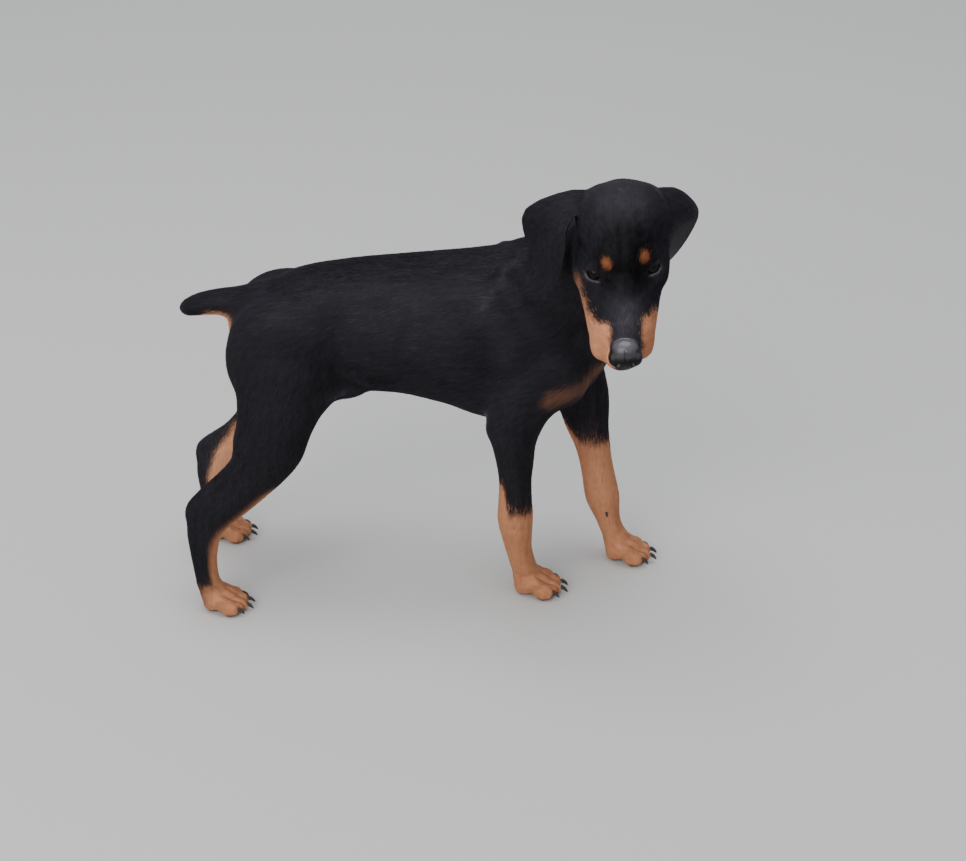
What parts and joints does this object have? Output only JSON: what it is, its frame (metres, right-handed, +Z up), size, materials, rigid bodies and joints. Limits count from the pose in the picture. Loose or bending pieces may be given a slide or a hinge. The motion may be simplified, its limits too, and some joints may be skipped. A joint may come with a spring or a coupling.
{
  "type": "doberman pinscher puppy",
  "caption": "Life-size standing doberman pinscher puppy, black with rust markings, docked tail and natural drop ears, head turned to its right and lowered.",
  "frame": {"origin": "middle of the foot of the bounding box, on the floor between the paws", "axes": "+X towards the dog's chest, +Y towards its left side, +Z up; its tail points to -X and its face looks to -Y"},
  "size_m": [0.547, 0.2708, 0.5062],
  "materials": {
    "black_coat": "short, close, glossy black hair",
    "rust_coat": "short, close rust-tan hair",
    "nose_leather": "fine-grained, slightly moist black nose skin",
    "eye_brown": "wet, dark brown",
    "claw_horn": "polished dark horn"
  },
  "bodies": {
    "root": {"claw_fore_left_1": "claw_horn", "claw_fore_left_2": "claw_horn", "claw_fore_left_3": "claw_horn", "claw_fore_left_4": "claw_horn", "claw_fore_right_1": "claw_horn", "claw_fore_right_2": "claw_horn", "claw_fore_right_3": "claw_horn", "claw_fore_right_4": "claw_horn", "claw_hind_left_1": "claw_horn", "claw_hind_left_2": "claw_horn", "claw_hind_left_3": "claw_horn", "claw_hind_left_4": "claw_horn", "claw_hind_right_1": "claw_horn", "claw_hind_right_2": "claw_horn", "claw_hind_right_3": "claw_horn", "claw_hind_right_4": "claw_horn", "dew_claw_fore_left": "claw_horn", "dew_claw_fore_right": "claw_horn", "ear_left": "black_coat", "ear_right": "black_coat", "eye_left": "eye_brown", "eye_right": "eye_brown", "fore_pastern_left": "rust_coat", "fore_pastern_right": "rust_coat", "fore_paw_left": "rust_coat", "fore_paw_right": "rust_coat", "forearm_left": "black_coat", "forearm_right": "black_coat", "head": "black_coat", "hind_pastern_left": "black_coat", "hind_pastern_right": "black_coat", "hind_paw_left": "rust_coat", "hind_paw_right": "rust_coat", "lower_jaw": "rust_coat", "neck": "black_coat", "nose": "nose_leather", "shank_left": "black_coat", "shank_right": "black_coat", "tail": "black_coat", "thigh_left": "black_coat", "thigh_right": "black_coat", "torso": "black_coat"}
  },
  "joints": []
}
